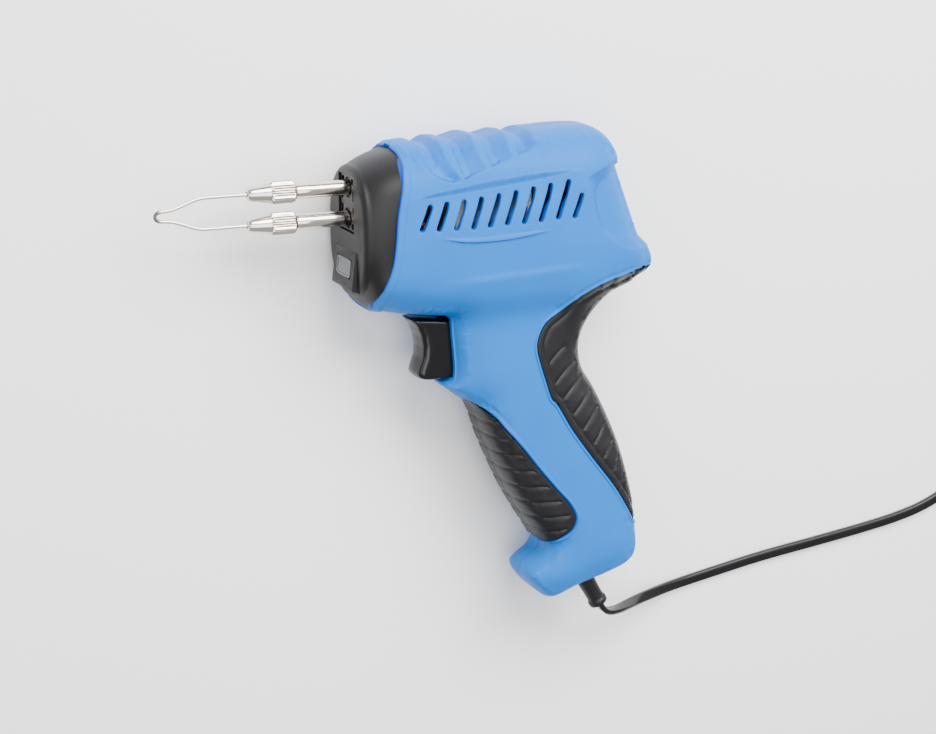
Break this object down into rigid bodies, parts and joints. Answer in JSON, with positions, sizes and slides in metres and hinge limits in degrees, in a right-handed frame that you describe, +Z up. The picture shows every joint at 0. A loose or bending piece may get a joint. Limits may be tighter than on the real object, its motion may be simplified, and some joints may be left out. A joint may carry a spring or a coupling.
{
  "type": "soldering gun",
  "caption": "Pistol-grip soldering gun with trigger, bent wire tip held in collets, and a flat mains cord; heats on a trigger pull for glass and copper-foil work.",
  "frame": {"origin": "centre of the bounding box of the gun without its cord, on the surface that the gun lies on with its right side down", "axes": "+X from the tip towards the rear, +Y from the handle foot towards the top of the gun, +Z up, out of its left side"},
  "size_m": [0.5377, 0.2407, 0.056],
  "materials": {
    "blue_housing": "light blue moulded ABS, fine satin grain",
    "black_nose": "black glass-filled nylon, satin",
    "black_rubber": "soft black overmoulded rubber",
    "black_trigger": "black polished ABS",
    "chrome": "nickel-plated copper and brass, polished",
    "tinned_wire": "tinned copper wire, bright drawn",
    "copper": "bare copper bar",
    "brass": "turned brass, bright",
    "zinc_steel": "zinc-plated steel",
    "lamination": "stacked electrical steel",
    "nylon": "natural nylon",
    "winding_tape": "yellow polyester tape over enamelled wire",
    "lens": "clear polycarbonate",
    "board": "green solder mask",
    "led_resin": "clear epoxy",
    "phenolic": "black heat-resistant phenolic",
    "brown_wire": "brown PVC",
    "blue_wire": "blue PVC",
    "black_cord": "black flexible PVC, glossy"
  },
  "bodies": {
    "housing": {"housing_left": "blue_housing", "housing_right": "blue_housing", "nose_cap": "black_nose", "front_grip_left": "black_rubber", "front_grip_right": "black_rubber", "rear_grip_left": "black_rubber", "rear_grip_right": "black_rubber", "strain_relief": "black_rubber", "upper_rod": "chrome", "lower_rod": "chrome", "secondary_turn": "copper", "plug_pin_1": "brass", "plug_pin_2": "brass", "housing_screw_1": "zinc_steel", "housing_screw_2": "zinc_steel", "housing_screw_3": "zinc_steel", "housing_screw_4": "zinc_steel", "housing_screw_5": "zinc_steel", "housing_screw_6": "zinc_steel", "clamp_screw_1": "zinc_steel", "clamp_screw_2": "zinc_steel", "thermal_fuse": "zinc_steel", "transformer_core": "lamination", "winding_bobbin": "nylon", "cord_clamp": "nylon", "clamp_base": "nylon", "primary_winding": "winding_tape", "lamp_lens": "lens", "lamp_board": "board", "lamp_led": "led_resin", "rod_insulator": "phenolic", "switch_body": "phenolic", "live_wire": "brown_wire", "switched_wire": "brown_wire", "neutral_wire": "blue_wire", "lamp_wire": "blue_wire", "inner_lead": "black_cord", "power_cord": "black_cord", "cord_coil": "black_cord", "cord_plug_end": "black_cord", "plug_body": "black_cord"},
    "trigger": {"trigger": "black_trigger"},
    "switch_plunger": {"switch_plunger": "nylon", "return_spring": "zinc_steel"},
    "upper_collet": {"upper_collet": "brass"},
    "upper_nut": {"upper_collet_nut": "chrome"},
    "lower_collet": {"lower_collet": "brass"},
    "lower_nut": {"lower_collet_nut": "chrome"},
    "tip": {"soldering_tip": "tinned_wire"}
  },
  "joints": [
    {"name": "trigger_slide", "type": "slide", "parent": "housing", "child": "trigger", "axis": [1, 0, 0], "range_m": [0, 0.005], "stiffness_N_per_m": 400, "springref_m": -0.004},
    {"name": "plunger_slide", "type": "slide", "parent": "housing", "child": "switch_plunger", "axis": [1, 0, 0], "range_m": [0, 0.005]},
    {"name": "upper_collet_slide", "type": "slide", "parent": "housing", "child": "upper_collet", "axis": [-1, 0, 0], "range_m": [0, 0.00225]},
    {"name": "upper_nut_turn", "type": "hinge", "parent": "upper_collet", "child": "upper_nut", "pos_m": [-0.06415, 0.09524, 0.028], "axis": [-1, 0, 0], "range_deg": [0, 1081]},
    {"name": "lower_collet_slide", "type": "slide", "parent": "housing", "child": "lower_collet", "axis": [-1, 0, 0], "range_m": [0, 0.00225]},
    {"name": "lower_nut_turn", "type": "hinge", "parent": "lower_collet", "child": "lower_nut", "pos_m": [-0.06415, 0.08164, 0.028], "axis": [-1, 0, 0], "range_deg": [0, 1081]},
    {"name": "tip_slide", "type": "slide", "parent": "housing", "child": "tip", "axis": [-1, 0, 0], "range_m": [0, 0.012]}
  ],
  "couplings": [
    {"joint": "plunger_slide", "follows": "trigger_slide", "ratio": 1},
    {"joint": "upper_nut_turn", "follows": "upper_collet_slide", "rad_per_m": 8377.6},
    {"joint": "lower_nut_turn", "follows": "lower_collet_slide", "rad_per_m": 8377.6}
  ]
}
